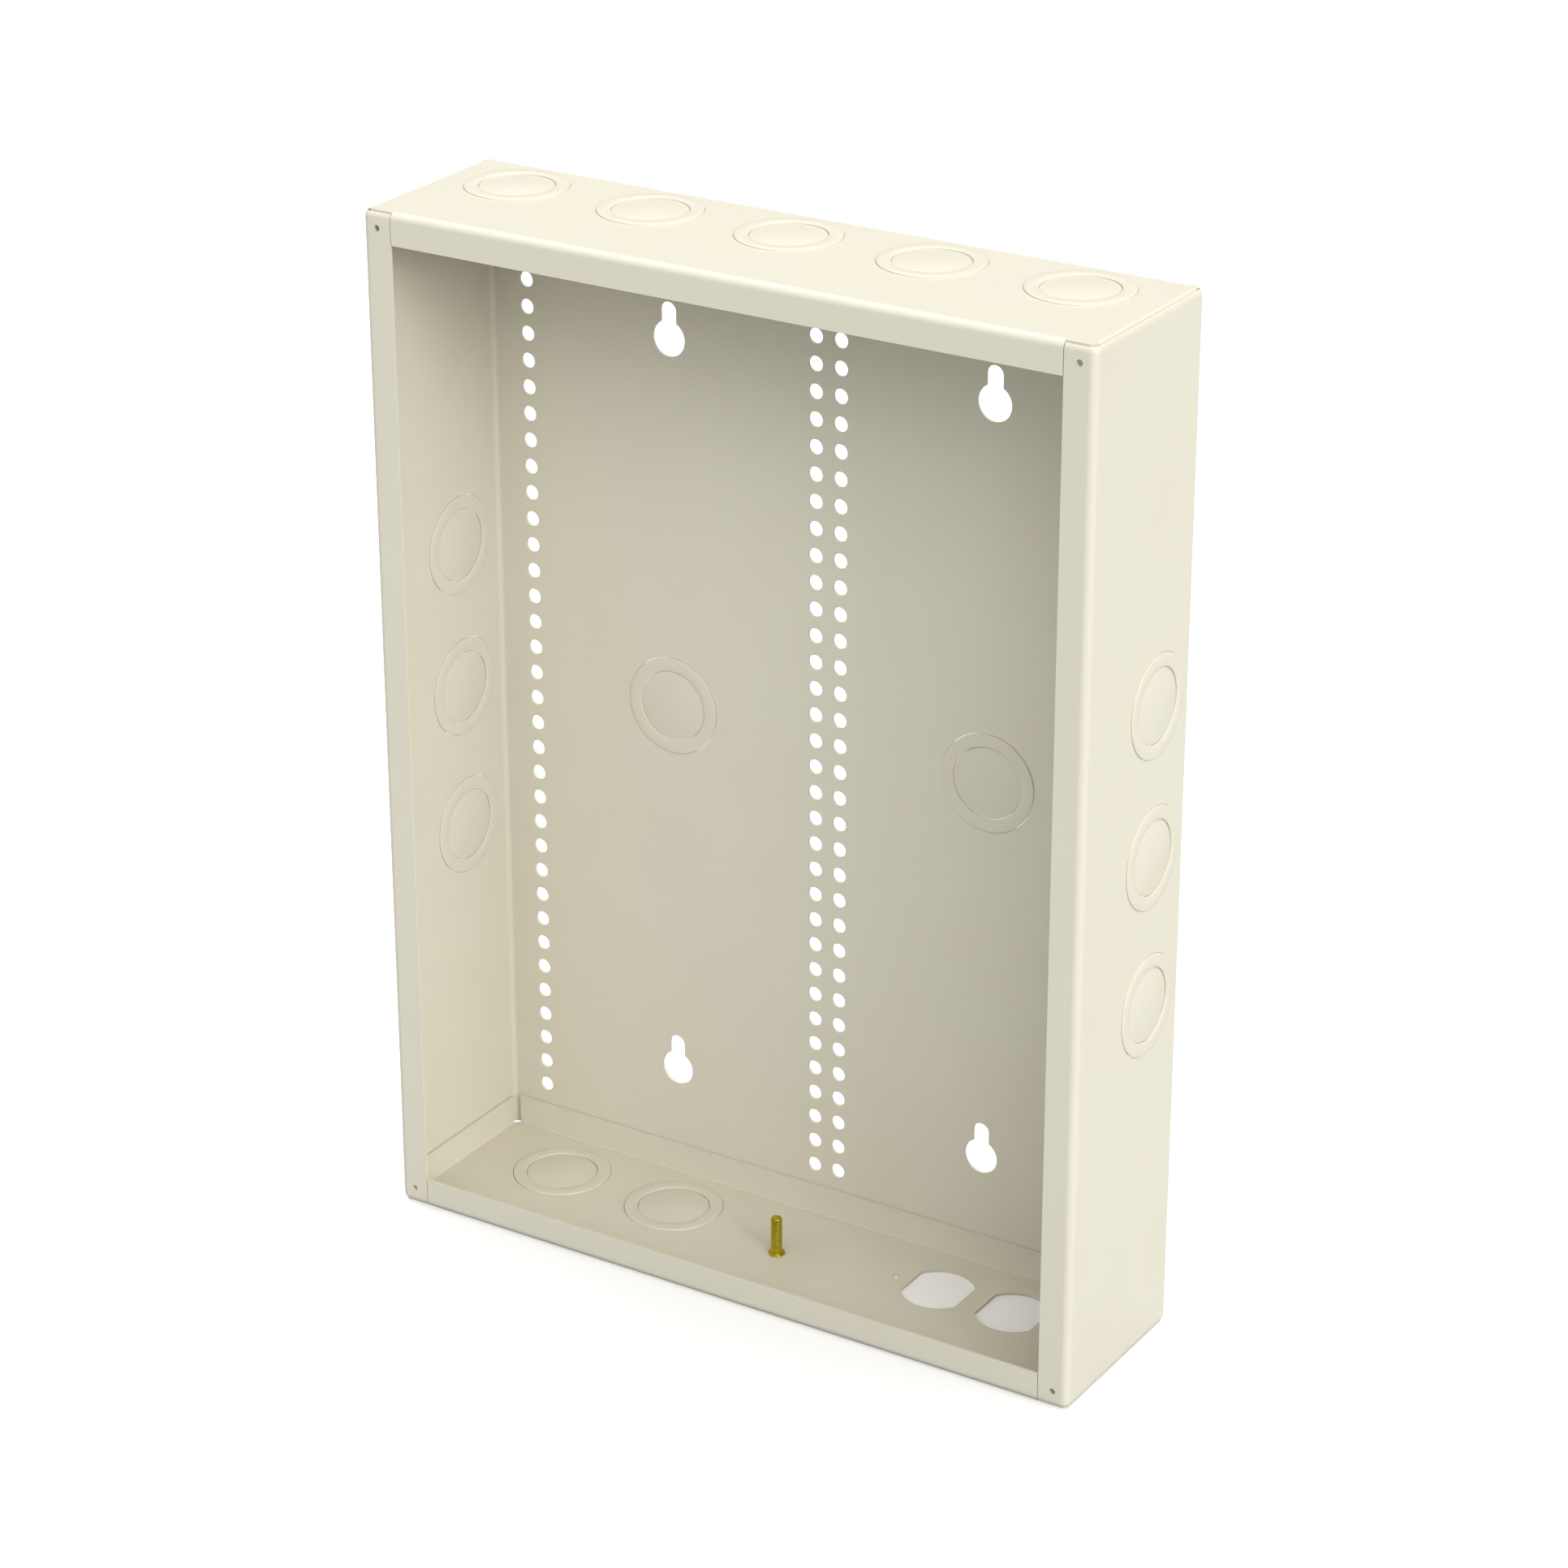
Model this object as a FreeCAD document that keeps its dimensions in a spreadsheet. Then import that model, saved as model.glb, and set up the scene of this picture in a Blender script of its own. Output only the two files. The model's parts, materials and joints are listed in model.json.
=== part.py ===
import FreeCAD, Part
import os
import Sketcher
from FreeCAD import Placement, Rotation, Vector

# Residential load center enclosure: an open-fronted, flush-mount sheet-steel box.
# X runs across the box, +Z is up, and the wall it is screwed to lies on the XZ plane (y = 0).
# The box stands out from the wall towards -Y. Millimetres.

SIZES = {
    # the wrap: back, sides and front return flanges from one bent sheet
    "box_width": 358.0,
    "box_height": 485.5,
    "box_depth": 92.8,
    "sheet_gauge": 1.2,
    "bend_outer": 3.5,
    "side_flange": 14.6,
    "cut_overrun": 2.0,
    # the end caps: trays let into the two ends of the wrap
    "cap_gap": 0.3,
    "cap_front_seam": 0.4,
    "cap_front_flange": 14.5,
    "cap_inner_flange": 15.5,
    "cap_inner_bend": 1.5,
    "cap_relief": 3.6,
    # screw holes for the cover, one near each corner of the front
    "cover_hole_side": 171.4,
    "cover_hole_end": 7.9,
    "cover_hole_diameter": 3.0,
    # the grid of module holes in the back
    "grid_pitch": 12.7,
    "grid_rows": 33,
    "grid_lowest": -216.85,
    "grid_inner": 6.35,
    "grid_outer": 158.75,
    "grid_diameter": 7.1,
    # keyholes that hang the box on four wall screws
    "keyhole_side": 82.55,
    "keyhole_upper": 174.95,
    "keyhole_lower": -187.05,
    "keyhole_round": 16.8,
    "keyhole_slot": 8.1,
    "keyhole_height": 25.4,
    # concentric knockouts: a slug inside a ring inside a hole
    "knockout_hole": 47.0,
    "knockout_ring_inner": 34.2,
    "knockout_kerf": 0.3,
    "knockout_offset": 0.6,
    "knockout_pitch": 69.85,
    "left_knockout_depth": 31.8,
    "left_knockout_height": -1.25,
    "right_knockout_depth": 30.0,
    "right_knockout_height": -1.85,
    "top_knockout_shift": -2.1,
    "top_knockout_depth": 29.9,
    "back_knockout_side": 82.55,
    "back_knockout_height": -0.85,
    "bottom_knockout_depth": 33.0,
    "bottom_knockout_outer": -128.5,
    "bottom_knockout_inner": -64.7,
    # receptacle cut-outs in the bottom cap
    "receptacle_side": 99.2,
    "receptacle_depth": 33.5,
    "receptacle_face_pitch": 38.9,
    "receptacle_face_diameter": 34.5,
    "receptacle_face_flats": 28.6,
    "receptacle_screw_pitch": 83.3,
    "receptacle_screw_diameter": 3.8,
    # the welded ground stud
    "stud_depth": 44.8,
    "stud_diameter": 6.35,
    "stud_flange_diameter": 8.0,
    "stud_flange_height": 0.9,
    "stud_height": 19.0,
    "stud_chamfer": 0.9,
}

doc = FreeCAD.newDocument("LoadCenter")
sheet = doc.addObject("Spreadsheet::Sheet", "Sizes")
for row, (alias, number) in enumerate(SIZES.items(), start=1):
    sheet.set("A%d" % row, alias)
    sheet.set("B%d" % row, str(number))
    sheet.setAlias("B%d" % row, alias)
doc.recompute()


def cell(expression):
    """The expression with every alias in it written as a reference to the sheet."""
    words = expression.split(" ")
    return " ".join("Sizes." + word if word in SIZES else word for word in words)


def value(expression):
    """The number that an expression of the sheet's aliases stands for."""
    return float(sheet.evalExpression(cell(expression)))


# ---------------------------------------------------------------- sketches


def new_body(label):
    body = doc.addObject("PartDesign::Body", label)
    body.Label = label
    return body


def new_sketch(body, name, plane_role, offset="0"):
    """A sketch on one of the body's own origin planes, moved along that plane's normal."""
    sketch = body.newObject("Sketcher::SketchObject", body.Name + "_" + name)
    planes = [feature for feature in body.Origin.OriginFeatures if feature.Role == plane_role]
    sketch.AttachmentSupport = [(planes[0], "")]
    sketch.MapMode = "FlatFace"
    sketch.setExpression(".AttachmentOffset.Base.z", cell(offset))
    return sketch


def bind(sketch, constraint, expression):
    """Add a dimensional constraint and bind it to the sheet."""
    index = sketch.addConstraint(constraint)
    sketch.setExpression("Constraints[%d]" % index, cell(expression))


def place_point(sketch, geometry, point, across, up):
    """Fix one point of a sketch element by its two distances from the origin."""
    bind(sketch, Sketcher.Constraint("DistanceX", -1, 1, geometry, point, value(across)), across)
    bind(sketch, Sketcher.Constraint("DistanceY", -1, 1, geometry, point, value(up)), up)


def add_polygon(sketch, corners):
    """A closed outline of straight lines through (across, up) pairs of expressions."""
    points = [Vector(value(across), value(up), 0) for across, up in corners]
    lines = []
    for start, end in zip(points, points[1:] + points[:1]):
        lines.append(sketch.addGeometry(Part.LineSegment(start, end)))
    for line, following in zip(lines, lines[1:] + lines[:1]):
        sketch.addConstraint(Sketcher.Constraint("Coincident", line, 2, following, 1))
    for line, (across, up) in zip(lines, corners):
        place_point(sketch, line, 1, across, up)


def add_rectangle(sketch, left, right, low, high):
    add_polygon(sketch, [(left, low), (right, low), (right, high), (left, high)])


def add_circle(sketch, across, up, diameter):
    centre = Vector(value(across), value(up), 0)
    radius = value(diameter) / 2
    circle = sketch.addGeometry(Part.Circle(centre, Vector(0, 0, 1), radius))
    place_point(sketch, circle, 3, across, up)
    bind(sketch, Sketcher.Constraint("Diameter", circle, 2 * radius), diameter)


def add_flatted_circle(sketch, across, up, diameter, flats):
    """A circle cut by two upright flats, as the face of a duplex receptacle."""
    centre = Vector(value(across), value(up), 0)
    radius = value(diameter) / 2
    half_flat = value(flats) / 2
    half_line = (radius**2 - half_flat**2) ** 0.5
    upper = Part.Arc(
        centre + Vector(half_flat, half_line, 0),
        centre + Vector(0, radius, 0),
        centre + Vector(-half_flat, half_line, 0),
    )
    lower = Part.Arc(
        centre + Vector(-half_flat, -half_line, 0),
        centre + Vector(0, -radius, 0),
        centre + Vector(half_flat, -half_line, 0),
    )
    left = Part.LineSegment(
        centre + Vector(-half_flat, half_line, 0), centre + Vector(-half_flat, -half_line, 0)
    )
    right = Part.LineSegment(
        centre + Vector(half_flat, -half_line, 0), centre + Vector(half_flat, half_line, 0)
    )
    outline = [sketch.addGeometry(edge) for edge in (upper, left, lower, right)]
    for edge, following in zip(outline, outline[1:] + outline[:1]):
        sketch.addConstraint(Sketcher.Constraint("Coincident", edge, 2, following, 1))
    for arc in (outline[0], outline[2]):
        place_point(sketch, arc, 3, across, up)
    bind(sketch, Sketcher.Constraint("Diameter", outline[0], 2 * radius), diameter)
    sketch.addConstraint(Sketcher.Constraint("Equal", outline[0], outline[2]))
    for line, side in ((outline[1], "-"), (outline[3], "+")):
        sketch.addConstraint(Sketcher.Constraint("Vertical", line))
        edge_place = "%s %s ( %s ) / 2" % (across, side, flats)
        bind(sketch, Sketcher.Constraint("DistanceX", -1, 1, line, 1, value(edge_place)), edge_place)


def add_slot(sketch, across, low, high, width):
    """An upright slot with round ends centred at the two heights."""
    radius = value(width) / 2
    x = value(across)
    z_low = value(low)
    z_high = value(high)
    upper = Part.Arc(
        Vector(x + radius, z_high, 0), Vector(x, z_high + radius, 0), Vector(x - radius, z_high, 0)
    )
    lower = Part.Arc(
        Vector(x - radius, z_low, 0), Vector(x, z_low - radius, 0), Vector(x + radius, z_low, 0)
    )
    left = Part.LineSegment(Vector(x - radius, z_high, 0), Vector(x - radius, z_low, 0))
    right = Part.LineSegment(Vector(x + radius, z_low, 0), Vector(x + radius, z_high, 0))
    outline = [sketch.addGeometry(edge) for edge in (upper, left, lower, right)]
    for edge, following in zip(outline, outline[1:] + outline[:1]):
        sketch.addConstraint(Sketcher.Constraint("Tangent", edge, 2, following, 1))
    place_point(sketch, outline[0], 3, across, high)
    bind(sketch, Sketcher.Constraint("DistanceY", -1, 1, outline[2], 3, z_low), low)
    bind(sketch, Sketcher.Constraint("Diameter", outline[0], 2 * radius), width)


def join_ends(sketch, edges):
    """Tie each edge's end to the next edge's, whichever way round the two were drawn."""
    for edge, following in zip(edges, edges[1:] + edges[:1]):
        pairs = [(own, other) for own in (1, 2) for other in (1, 2)]
        gaps = {}
        for own, other in pairs:
            gap = sketch.getPoint(edge, own).distanceToPoint(sketch.getPoint(following, other))
            gaps[gap] = (own, other)
        own, other = gaps[min(gaps)]
        sketch.addConstraint(Sketcher.Constraint("Coincident", edge, own, following, other))


def add_bend_section(sketch, corner, signs, legs, bend):
    """The section of a bent strip, from the corner where its two outer faces would meet.

    Its first leg runs across and its second leg up, each the way its sign says."""

    def point(across, up):
        return (
            "%s %s ( %s )" % (corner[0], signs[0], across),
            "%s %s ( %s )" % (corner[1], signs[1], up),
        )

    def spot(place):
        return Vector(value(place[0]), value(place[1]), 0)

    def bend_arc(start, end, radius):
        """A quarter circle about the bend's centre."""
        centre = spot(point(bend, bend))
        middle = (spot(start) + spot(end)) / 2 - centre
        peak = centre + middle * (value(radius) / middle.Length)
        arc = sketch.addGeometry(Part.Arc(spot(start), peak, spot(end)))
        bind(sketch, Sketcher.Constraint("Radius", arc, value(radius)), radius)
        return arc

    def line(start, end, placed):
        segment = sketch.addGeometry(Part.LineSegment(spot(start), spot(end)))
        if placed:
            place_point(sketch, segment, 1, *start)
            place_point(sketch, segment, 2, *end)
        return segment

    outer_end = point(legs[0], "0 * sheet_gauge")
    outer_bend_start = point(bend, "0 * sheet_gauge")
    outer_bend_end = point("0 * sheet_gauge", bend)
    outer_tip = point("0 * sheet_gauge", legs[1])
    inner_tip = point("sheet_gauge", legs[1])
    inner_bend_start = point("sheet_gauge", bend)
    inner_bend_end = point(bend, "sheet_gauge")
    inner_end = point(legs[0], "sheet_gauge")
    edges = [
        line(outer_end, outer_bend_start, True),
        bend_arc(outer_bend_start, outer_bend_end, bend),
        line(outer_bend_end, outer_tip, True),
        line(outer_tip, inner_tip, False),
        line(inner_tip, inner_bend_start, True),
        bend_arc(inner_bend_start, inner_bend_end, bend + " - sheet_gauge"),
        line(inner_bend_end, inner_end, True),
        line(inner_end, outer_end, False),
    ]
    join_ends(sketch, edges)


# ---------------------------------------------------------------- features


def pad(body, sketch, length, reverse=False, both_ways=False):
    feature = body.newObject("PartDesign::Pad", sketch.Name + "_pad")
    feature.Profile = sketch
    feature.setExpression("Length", cell(length))
    feature.Reversed = reverse
    if both_ways:
        feature.SideType = "Symmetric"
    doc.recompute()
    return feature


def pocket(body, sketch, length, reverse=False, both_ways=False):
    """Cut the sketch into the solid, and make sure that it has removed something."""
    before = body.Shape.Volume
    feature = body.newObject("PartDesign::Pocket", sketch.Name + "_pocket")
    feature.Profile = sketch
    feature.setExpression("Length", cell(length))
    feature.Reversed = reverse
    if both_ways:
        feature.SideType = "Symmetric"
    doc.recompute()
    if body.Shape.Volume > before - 0.1:
        raise RuntimeError(sketch.Name + " cuts nothing")
    return feature


def straight_edges(shape, along, places):
    """Names of the straight edges along one axis that pass through any of the given places.

    A place gives the edge's two other coordinates, with the axis itself left as None."""
    names = []
    for number, edge in enumerate(shape.Edges, start=1):
        start = edge.Vertexes[0].Point
        end = edge.Vertexes[-1].Point
        if abs((end - start).dot(along)) < 0.99 * edge.Length or edge.Curve.TypeId != "Part::GeomLine":
            continue
        for place in places:
            gaps = [abs(start[i] - place[i]) for i in range(3) if place[i] is not None]
            if max(gaps) < 0.01:
                names.append("Edge%d" % number)
    if len(names) < len(places):
        raise RuntimeError("only %d straight edges of %d were found" % (len(names), len(places)))
    return names


def fillet(body, name, edges, radius):
    base = body.Tip
    feature = body.newObject("PartDesign::Fillet", body.Name + "_" + name)
    feature.Base = (base, edges)
    feature.setExpression("Radius", cell(radius))
    doc.recompute()
    return feature


X_AXIS = Vector(1, 0, 0)
Y_AXIS = Vector(0, 1, 0)
Z_AXIS = Vector(0, 0, 1)
THROUGH_SHEET = "sheet_gauge * 3"
INNER_BEND = "bend_outer - sheet_gauge"
GRID_COLUMNS = ("-1 * grid_outer", "-1 * grid_inner", "grid_inner", "grid_outer")
KEYHOLE_SIDES = ("-1 * keyhole_side", "keyhole_side")
SIDE_STEPS = ("+ knockout_pitch", "+ 0 * knockout_pitch", "- knockout_pitch")
TOP_SIDES = (
    "top_knockout_shift - 2 * knockout_pitch",
    "top_knockout_shift - knockout_pitch",
    "top_knockout_shift",
    "top_knockout_shift + knockout_pitch",
    "top_knockout_shift + 2 * knockout_pitch",
)
BACK_SIDES = ("-1 * back_knockout_side", "back_knockout_side")
BOTTOM_SIDES = ("bottom_knockout_outer", "bottom_knockout_inner")


# ---------------------------------------------------------------- the wrap


def make_wrap():
    """Back, sides and front return flanges: one sheet with four upright bends.

    Its two ends are dressed to the same radius as its bends."""
    body = new_body("enclosure_wrap")
    inner_half = value("box_width / 2 - sheet_gauge")

    outline = new_sketch(body, "outline", "XY_Plane")
    add_rectangle(outline, "box_width / -2", "box_width / 2", "-1 * box_depth", "0 * box_depth")
    block = pad(body, outline, "box_height", both_ways=True)
    every_edge = ["Edge%d" % number for number in range(1, len(block.Shape.Edges) + 1)]
    fillet(body, "outer_rounding", every_edge, "bend_outer")

    hollow = new_sketch(body, "hollow", "XY_Plane")
    add_rectangle(
        hollow,
        "box_width / -2 + sheet_gauge",
        "box_width / 2 - sheet_gauge",
        "-1 * box_depth + sheet_gauge",
        "-1 * sheet_gauge",
    )
    pocket(body, hollow, "box_height + cut_overrun", both_ways=True)
    inner_front = value("-1 * box_depth + sheet_gauge")
    inner_back = value("-1 * sheet_gauge")
    corners = [(x, y, None) for x in (-inner_half, inner_half) for y in (inner_front, inner_back)]
    fillet(body, "inner_bends", straight_edges(body.Shape, Z_AXIS, corners), INNER_BEND)

    mouth = new_sketch(body, "mouth", "XY_Plane")
    add_rectangle(
        mouth,
        "box_width / -2 + side_flange",
        "box_width / 2 - side_flange",
        "-1 * box_depth - sheet_gauge",
        "-1 * box_depth + 2 * sheet_gauge",
    )
    pocket(body, mouth, "box_height + cut_overrun", both_ways=True)

    cover_holes = new_sketch(body, "cover_holes", "XZ_Plane", "box_depth")
    for side in ("-1 * cover_hole_side", "cover_hole_side"):
        for height in ("box_height / 2 - cover_hole_end", "box_height / -2 + cover_hole_end"):
            add_circle(cover_holes, side, height, "cover_hole_diameter")
    pocket(body, cover_holes, THROUGH_SHEET)

    for wall in ("left", "right"):
        side_knockouts = new_sketch(body, wall + "_knockouts", "YZ_Plane")
        for step in SIDE_STEPS:
            height = wall + "_knockout_height " + step
            add_circle(side_knockouts, "-1 * " + wall + "_knockout_depth", height, "knockout_hole")
        pocket(body, side_knockouts, "box_width / 2 + cut_overrun", reverse=wall == "right")

    back_openings = new_sketch(body, "back_openings", "XZ_Plane")
    for side in BACK_SIDES:
        add_circle(back_openings, side, "back_knockout_height", "knockout_hole")
    for side in KEYHOLE_SIDES:
        for height in ("keyhole_upper", "keyhole_lower"):
            add_circle(back_openings, side, height, "keyhole_round")
    pocket(body, back_openings, THROUGH_SHEET, reverse=True)

    keyhole_slots = new_sketch(body, "keyhole_slots", "XZ_Plane")
    for side in KEYHOLE_SIDES:
        for height in ("keyhole_upper", "keyhole_lower"):
            slot_end = height + " + keyhole_height - keyhole_round / 2 - keyhole_slot / 2"
            add_slot(keyhole_slots, side, height, slot_end, "keyhole_slot")
    pocket(body, keyhole_slots, THROUGH_SHEET, reverse=True)

    grid_row = new_sketch(body, "grid_row", "XZ_Plane")
    for side in GRID_COLUMNS:
        add_circle(grid_row, side, "grid_lowest", "grid_diameter")
    lowest_row = pocket(body, grid_row, THROUGH_SHEET, reverse=True)
    grid = body.newObject("PartDesign::LinearPattern", "grid_of_module_holes")
    grid.Originals = [lowest_row]
    grid.Direction = (grid_row, ["V_Axis"])
    grid.setExpression("Length", cell("grid_pitch * ( grid_rows - 1 )"))
    grid.setExpression("Occurrences", cell("grid_rows"))
    body.Tip = grid
    doc.recompute()
    return body


# ---------------------------------------------------------------- the end caps

CAP_HALF = "box_width / 2 - sheet_gauge - cap_gap"
CAP_BACK = "-1 * sheet_gauge - cap_gap"
CAP_LEDGE = "-1 * box_depth + sheet_gauge + cap_gap"
CAP_FRONT = "-1 * box_depth"
CAP_FRONT_HALF = "box_width / 2 - side_flange - cap_front_seam"
INNER_BEND_CLEARANCE = "( " + INNER_BEND + " )"


def negative(expression):
    return "-1 * ( " + expression + " )"


def make_cap(label, up):
    """A shallow tray with its plate outwards: up is 1 for the top cap and -1 for the bottom one.

    The bottom plate is notched at its two back corners, and the top plate fills its own."""
    body = new_body(label)
    outer = "box_height / %d" % (2 * up)
    inwards = "-" if up > 0 else "+"
    relief_back = CAP_BACK + " - cap_relief"
    relief_side = CAP_HALF + " - cap_relief"
    flange_front = CAP_LEDGE + " + cap_relief"
    side_bend = CAP_HALF + " - cap_inner_bend"

    filled_corner = [
        (CAP_HALF, relief_back),
        (CAP_HALF, CAP_BACK + " - " + INNER_BEND_CLEARANCE),
        (CAP_HALF + " - " + INNER_BEND_CLEARANCE, CAP_BACK),
        (relief_side, CAP_BACK),
    ]
    notched_corner = [(relief_side, relief_back)]
    right = [
        (CAP_FRONT_HALF, CAP_FRONT + " + bend_outer"),
        (CAP_FRONT_HALF, CAP_LEDGE),
        (CAP_HALF + " - " + INNER_BEND_CLEARANCE, CAP_LEDGE),
        (CAP_HALF, CAP_LEDGE + " + " + INNER_BEND_CLEARANCE),
        (CAP_HALF, flange_front),
        (side_bend, flange_front),
        (side_bend, relief_back),
        *(filled_corner if up > 0 else notched_corner),
        (relief_side, CAP_BACK + " - cap_inner_bend"),
    ]
    left = [(negative(across), depth) for across, depth in reversed(right)]
    plate = new_sketch(body, "plate", "XY_Plane", outer)
    add_polygon(plate, right + left)
    pad(body, plate, "sheet_gauge", reverse=up > 0)

    front_flange = new_sketch(body, "front_flange", "YZ_Plane")
    legs = ("2 * bend_outer", "cap_front_flange")
    add_bend_section(front_flange, (CAP_FRONT, outer), ("+", inwards), legs, "bend_outer")
    pad(body, front_flange, "2 * ( " + CAP_FRONT_HALF + " )", both_ways=True)

    legs = ("2 * cap_inner_bend", "cap_inner_flange")
    back_flange = new_sketch(body, "back_flange", "YZ_Plane")
    add_bend_section(back_flange, (CAP_BACK, outer), ("-", inwards), legs, "cap_inner_bend")
    pad(body, back_flange, "2 * ( " + relief_side + " )", both_ways=True)

    side_flanges = new_sketch(body, "side_flanges", "XZ_Plane", negative(relief_back))
    for corner, inwards_across in ((CAP_HALF, "-"), (negative(CAP_HALF), "+")):
        signs = (inwards_across, inwards)
        add_bend_section(side_flanges, (corner, outer), signs, legs, "cap_inner_bend")
    pad(body, side_flanges, relief_back + " - ( " + flange_front + " )")
    return body


def cut_knockouts(body, outer, sides, depth):
    knockouts = new_sketch(body, "knockouts", "XY_Plane", outer)
    for side in sides:
        add_circle(knockouts, side, negative(depth), "knockout_hole")
    return pocket(body, knockouts, THROUGH_SHEET, both_ways=True)


def make_top_cap():
    body = make_cap("top_end_cap", 1)
    cut_knockouts(body, "box_height / 2", TOP_SIDES, "top_knockout_depth")
    return body


def make_bottom_cap():
    body = make_cap("bottom_end_cap", -1)
    floor = "box_height / -2"
    cut_knockouts(body, floor, BOTTOM_SIDES, "bottom_knockout_depth")

    faces = new_sketch(body, "receptacle_faces", "XY_Plane", floor)
    screws = new_sketch(body, "receptacle_screws", "XY_Plane", floor)
    depth = negative("receptacle_depth")
    for side in ("-", "+"):
        face_place = "receptacle_side %s receptacle_face_pitch / 2" % side
        add_flatted_circle(
            faces, face_place, depth, "receptacle_face_diameter", "receptacle_face_flats"
        )
        screw_place = "receptacle_side %s receptacle_screw_pitch / 2" % side
        add_circle(screws, screw_place, depth, "receptacle_screw_diameter")
    pocket(body, faces, THROUGH_SHEET, both_ways=True)
    pocket(body, screws, THROUGH_SHEET, both_ways=True)
    return body


# ---------------------------------------------------------------- the ground stud


def make_stud():
    """A weld stud: a thin base flange, a straight shank and a chamfered tip."""
    body = new_body("ground_stud")
    profile = new_sketch(body, "profile", "XZ_Plane")
    floor = "box_height / -2 + sheet_gauge"
    tip = floor + " + stud_height"
    add_polygon(
        profile,
        [
            ("0 * stud_diameter", floor),
            ("stud_flange_diameter / 2", floor),
            ("stud_flange_diameter / 2", floor + " + stud_flange_height"),
            ("stud_diameter / 2", floor + " + stud_flange_height"),
            ("stud_diameter / 2", tip + " - stud_chamfer"),
            ("stud_diameter / 2 - stud_chamfer", tip),
            ("0 * stud_diameter", tip),
        ],
    )
    turned = body.newObject("PartDesign::Revolution", "stud_turned")
    turned.Profile = profile
    turned.ReferenceAxis = (profile, ["V_Axis"])
    turned.Angle = 360
    body.setExpression(".Placement.Base.y", cell("-1 * stud_depth"))
    doc.recompute()
    return body


# ---------------------------------------------------------------- the knockouts

SLUG_DIAMETER = "knockout_ring_inner - 2 * knockout_kerf"
RING_DIAMETER = "knockout_hole - 2 * knockout_kerf"


def set_place(body, rotation, place):
    """Turn the body, then bind its three coordinates to the sheet."""
    body.Placement = Placement(Vector(0, 0, 0), rotation)
    for axis, expression in zip("xyz", place):
        body.setExpression(".Placement.Base." + axis, cell(expression))


def make_knockout(name, rotation, ring_place, slug_place):
    """A ring and the slug inside it, both as thick as the sheet."""
    ring = new_body(name + "_ring")
    band = new_sketch(ring, "band", "XY_Plane")
    for diameter in (RING_DIAMETER, "knockout_ring_inner"):
        add_circle(band, "0 * knockout_hole", "0 * knockout_hole", diameter)
    pad(ring, band, "sheet_gauge")
    set_place(ring, rotation, ring_place)

    slug = new_body(name + "_slug")
    disc = new_sketch(slug, "disc", "XY_Plane")
    add_circle(disc, "0 * knockout_hole", "0 * knockout_hole", SLUG_DIAMETER)
    pad(slug, disc, "sheet_gauge")
    set_place(slug, rotation, slug_place)
    return [ring, slug]


def make_knockouts():
    """Every ring is pressed half a thickness out of its wall, and every slug is level with it.

    The rings go up in both end caps, to +X in both side walls and into the box in the back."""
    facing_x = Rotation(Y_AXIS, 90)
    facing_front = Rotation(X_AXIS, 90)
    upright = Rotation()
    made = []
    for wall, sides, depth, base in (
        ("top", TOP_SIDES, "top_knockout_depth", "box_height / 2 - sheet_gauge"),
        ("bottom", BOTTOM_SIDES, "bottom_knockout_depth", "box_height / -2"),
    ):
        for number, side in enumerate(sides, start=1):
            name = "%s_knockout_%d" % (wall, number)
            ring_place = (side, negative(depth), base + " + knockout_offset")
            slug_place = (side, negative(depth), base)
            made += make_knockout(name, upright, ring_place, slug_place)
    for wall, base in (("left", "box_width / -2"), ("right", "box_width / 2 - sheet_gauge")):
        depth = negative(wall + "_knockout_depth")
        for number, step in enumerate(SIDE_STEPS, start=1):
            name = "%s_knockout_%d" % (wall, number)
            height = wall + "_knockout_height " + step
            ring_place = (base + " + knockout_offset", depth, height)
            made += make_knockout(name, facing_x, ring_place, (base, depth, height))
    for number, side in enumerate(BACK_SIDES, start=1):
        name = "back_knockout_%d" % number
        ring_place = (side, "-1 * knockout_offset", "back_knockout_height")
        slug_place = (side, "0 * knockout_offset", "back_knockout_height")
        made += make_knockout(name, facing_front, ring_place, slug_place)
    return made


# ---------------------------------------------------------------- build, check and write

parts = [make_wrap(), make_top_cap(), make_bottom_cap(), make_stud()] + make_knockouts()
doc.recompute()

for item in doc.Objects:
    if "Invalid" in item.State or "Error" in item.State:
        raise RuntimeError(item.Name + " did not compute")
for part in parts:
    if part.Shape.isNull() or not part.Shape.isValid() or len(part.Shape.Solids) != 1:
        raise RuntimeError(part.Label + " is not one valid solid")

os.makedirs("parts", exist_ok=True)
for part in parts:
    part.Shape.exportStep("parts/" + part.Label + ".step")
    box = part.Shape.BoundBox
    low = "%.2f %.2f %.2f" % (box.XMin, box.YMin, box.ZMin)
    high = "%.2f %.2f %.2f" % (box.XMax, box.YMax, box.ZMax)
    print(part.Label, "%.2f mm3" % part.Shape.Volume, "from", low, "to", high)
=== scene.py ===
"""A flush-mount load center enclosure: coated sheet steel, concentric knockouts and a ground stud.

Everything is in metres, in the frame's own axes: the open front faces -Y and +Z is up."""

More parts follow.
